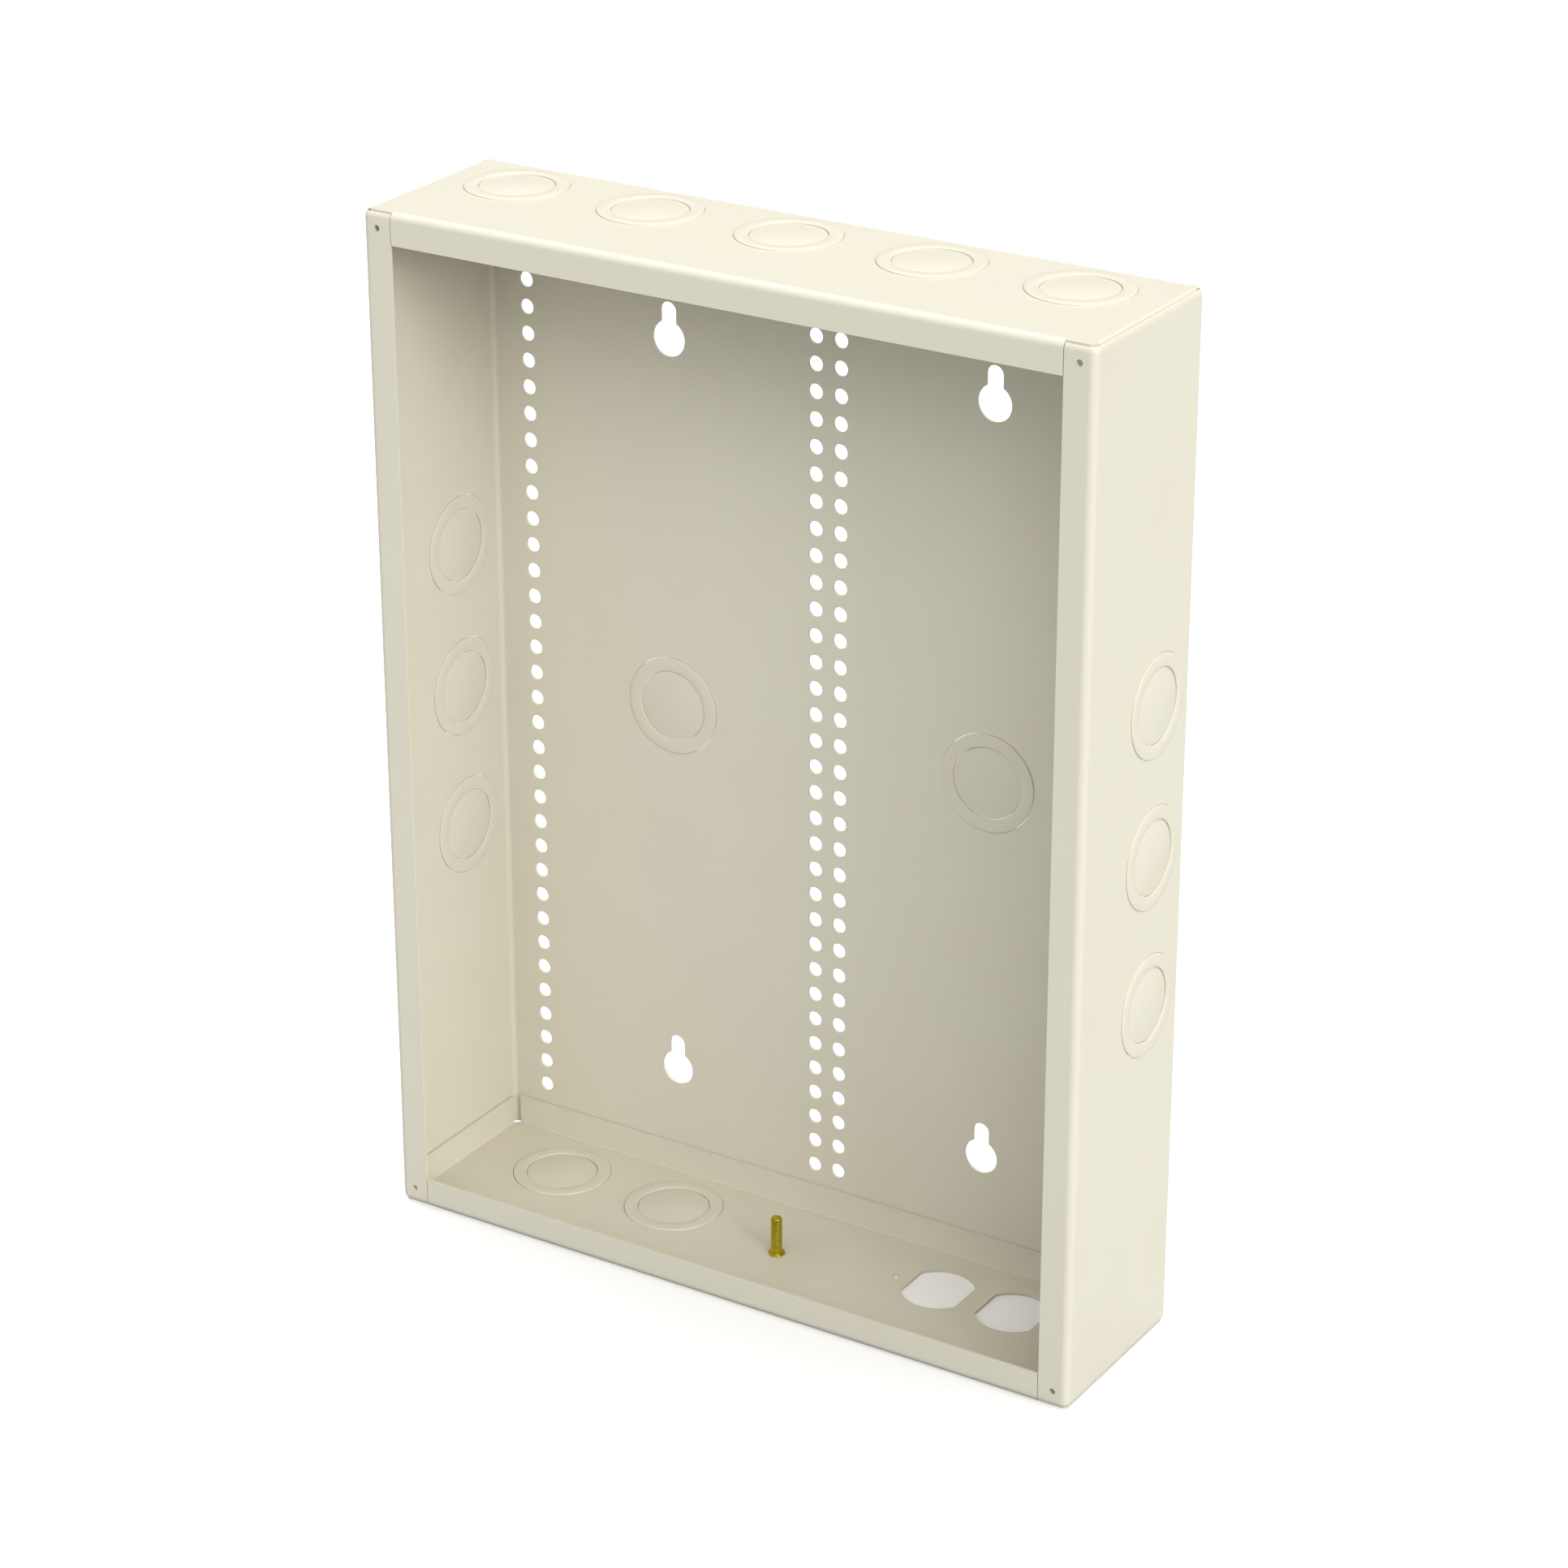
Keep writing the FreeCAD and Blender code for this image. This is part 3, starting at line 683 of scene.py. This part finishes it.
class LOADCENTER_OT_knockouts(bpy.types.Operator):
    """Press every knockout's ring and slug, with rounded rims"""

    bl_idname = "loadcenter.knockouts"
    bl_label = "Knockouts"

    def execute(self, context):
        settings = context.scene.edge_settings
        tree = make_disc_tree()
        coat = bpy.data.materials["almond_coat_punched"]
        for body, nodes in frame["record"]["behaviour"]["bodies"].items():
            wall = body.split("_")[0]
            if wall not in OUTWARD:
                continue
            ring = body.endswith("_ring")
            slug_name = body.replace("_ring", "_slug")
            low, high = (Vector(corner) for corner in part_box(nodes[0]))
            slug_low, slug_high = (Vector(corner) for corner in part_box(slug_name))
            hole = max(slug_high - slug_low) / 2 + settings.kerf - settings.coat_build
            piece = grow(
                tree,
                nodes[0] + "_pressed",
                {
                    "Outer Radius": max(high - low) / 2 + settings.coat_build,
                    "Inner Radius": hole if ring else 0.0,
                    "Thickness": min(high - low),
                    "Edge": settings.punched_edge,
                    "Steps": settings.rim_steps,
                    "Material": coat,
                },
            )
            turn = Vector((0, 0, 1)).rotation_difference(OUTWARD[wall]).to_matrix().to_4x4()
            piece.data.transform(Matrix.Translation((low + high) / 2) @ turn)
            face_out(piece)
            smooth_by_angle(piece, 50)
            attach(piece, body)
            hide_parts(nodes[0])
        return {"FINISHED"}


class LOADCENTER_OT_ground_stud(bpy.types.Operator):
    """Turn the ground stud's core and wind its thread"""

    bl_idname = "loadcenter.ground_stud"
    bl_label = "Ground stud"

    def execute(self, context):
        settings = context.scene.stud_settings
        zinc = bpy.data.materials["yellow_zinc"]
        low, high = (Vector(corner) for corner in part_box("ground_stud"))
        centre = (low + high) / 2
        base = Vector((centre.x, centre.y, low.z))
        height = high.z - low.z
        flange = (high.x - low.x) / 2
        major = settings.shank_diameter / 2
        root = major - settings.thread_depth
        collar = settings.collar_height
        plain = settings.plain_length
        lead = settings.tip_length
        outline = [
            (0.0, 0.0),
            (flange, 0.0),
            (flange, collar * 0.6),
            (flange - 0.12 * MM, collar * 0.85),
            (flange - 0.4 * MM, collar),
            (major * 0.98, collar),
            (major * 0.98, collar + plain * 0.7),
            (root, collar + plain),
            (root, height - lead),
            (root - 0.35 * MM, height - 0.12 * MM),
            (root - 0.6 * MM, height),
            (0.0, height),
        ]
        core = set_mesh("ground_stud_core", turned(outline, STUD_STEPS), zinc)
        core.data.transform(Matrix.Translation(base))
        smooth_by_angle(core, 40)

        start = collar + plain * 0.8
        thread = grow(
            make_thread_tree(),
            "ground_stud_thread",
            {
                "Root Radius": root,
                "Depth": settings.thread_depth,
                "Pitch": settings.thread_pitch,
                "Length": height - lead * 0.6 - start,
                "Steps": THREAD_STEPS,
                "Material": zinc,
            },
        )
        thread.data.transform(Matrix.Translation(base + Vector((0, 0, start))))
        face_out(thread)
        smooth_by_angle(thread, 30)

        for piece in (core, thread):
            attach(piece, "enclosure")
        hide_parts("ground_stud")
        return {"FINISHED"}


class LOADCENTER_OT_stage(bpy.types.Operator):
    """Lay the pale floor, and set the soft lights and the camera"""

    bl_idname = "loadcenter.stage"
    bl_label = "Stage"

    def execute(self, context):
        settings = context.scene.stage_settings
        low, high = (Vector(corner) for corner in CAD_BOX)
        self.lay_floor(low.z)
        self.light_surroundings(settings)
        for name, azimuth, elevation, share in OVERHEAD_BANKS:
            strength = share * settings.overhead_strength
            self.hang_bank(name, azimuth, elevation, strength, settings.softness)
        for name, azimuth, elevation, share in KEY_BANKS:
            strength = share * settings.key_strength
            self.hang_bank(name, azimuth, elevation, strength, settings.softness)
        self.place_camera(settings)
        return {"FINISHED"}

    def lay_floor(self, height):
        shape = bmesh.new()
        half = FLOOR_HALF_WIDTH
        corners = [(-half, -half), (half, -half), (half, half), (-half, half)]
        shape.faces.new([shape.verts.new((x, y, height)) for x, y in corners])
        floor = set_mesh("studio_floor", shape, bpy.data.materials["pale_floor"])

    def light_surroundings(self, settings):
        """White surroundings: the camera sees them plain white, and their light is softer."""
        world = bpy.data.worlds.new("studio")
        world.use_nodes = True
        tree = world.node_tree
        tree.nodes.clear()
        rays = add_node(tree, "ShaderNodeLightPath", (-600, 200))
        glow = add_node(tree, "ShaderNodeBackground", (-300, 0))
        glow.inputs["Strength"].default_value = settings.sky_strength
        backdrop = add_node(tree, "ShaderNodeBackground", (-300, -200))
        for shader in (glow, backdrop):
            shader.inputs["Color"].default_value = (1.0, 1.0, 1.0, 1.0)
        mix = add_node(tree, "ShaderNodeMixShader", (0, 0))
        output = add_node(tree, "ShaderNodeOutputWorld", (220, 0))
        tree.links.new(rays.outputs["Is Camera Ray"], mix.inputs["Fac"])
        tree.links.new(glow.outputs[0], mix.inputs[1])
        tree.links.new(backdrop.outputs[0], mix.inputs[2])
        tree.links.new(mix.outputs[0], output.inputs["Surface"])
        bpy.context.scene.world = world

    def hang_bank(self, name, azimuth, elevation, strength, softness):
        """A wide distant bank of lights: a strength of 1 lights a white card facing it to 1."""
        light = bpy.data.lights.new(name, "SUN")
        light.energy = strength * math.pi
        light.angle = softness
        lamp = bpy.data.objects.new(name, light)
        towards = direction(math.radians(azimuth), math.radians(elevation))
        lamp.rotation_euler = (-towards).to_track_quat("-Z", "Y").to_euler()
        bpy.context.collection.objects.link(lamp)

    def place_camera(self, settings):
        towards = direction(settings.azimuth, settings.elevation)
        data = bpy.data.cameras.new("studio_camera")
        data.lens = settings.lens
        data.sensor_width = 36.0
        data.clip_end = 100.0
        camera = bpy.data.objects.new("studio_camera", data)
        turn = (-towards).to_track_quat("-Z", "Y").to_matrix().to_4x4()
        roll = Matrix.Rotation(-settings.roll, 4, "Z")
        camera.matrix_world = Matrix.Translation(CAMERA_AIM + towards * settings.distance) @ turn @ roll
        bpy.context.collection.objects.link(camera)
        bpy.context.scene.camera = camera
        bpy.context.scene.view_settings.view_transform = "Standard"


class LOADCENTER_PT_panel(bpy.types.Panel):
    """Steps that build the enclosure's look"""

    bl_idname = "LOADCENTER_PT_panel"
    bl_label = "Load Center"
    bl_space_type = "VIEW_3D"
    bl_region_type = "UI"
    bl_category = "Load Center"

    def draw(self, context):
        for operator in OPERATORS:
            self.layout.operator(operator.bl_idname)


OPERATORS = (
    LOADCENTER_OT_finishes,
    LOADCENTER_OT_sheets,
    LOADCENTER_OT_knockouts,
    LOADCENTER_OT_ground_stud,
    LOADCENTER_OT_stage,
)
SETTINGS = {
    "finish_settings": FinishSettings,
    "edge_settings": EdgeSettings,
    "stud_settings": StudSettings,
    "stage_settings": StageSettings,
}
CLASSES = (*SETTINGS.values(), *OPERATORS, LOADCENTER_PT_panel)


def register():
    for item in CLASSES:
        bpy.utils.register_class(item)
    for name, kind in SETTINGS.items():
        setattr(bpy.types.Scene, name, PointerProperty(type=kind))


def unregister():
    for name in SETTINGS:
        delattr(bpy.types.Scene, name)
    for item in reversed(CLASSES):
        bpy.utils.unregister_class(item)


def main():
    register()
    bpy.ops.loadcenter.finishes()
    bpy.ops.loadcenter.sheets()
    bpy.ops.loadcenter.knockouts()
    bpy.ops.loadcenter.ground_stud()
    bpy.ops.loadcenter.stage()


if __name__ == "__main__":
    main()
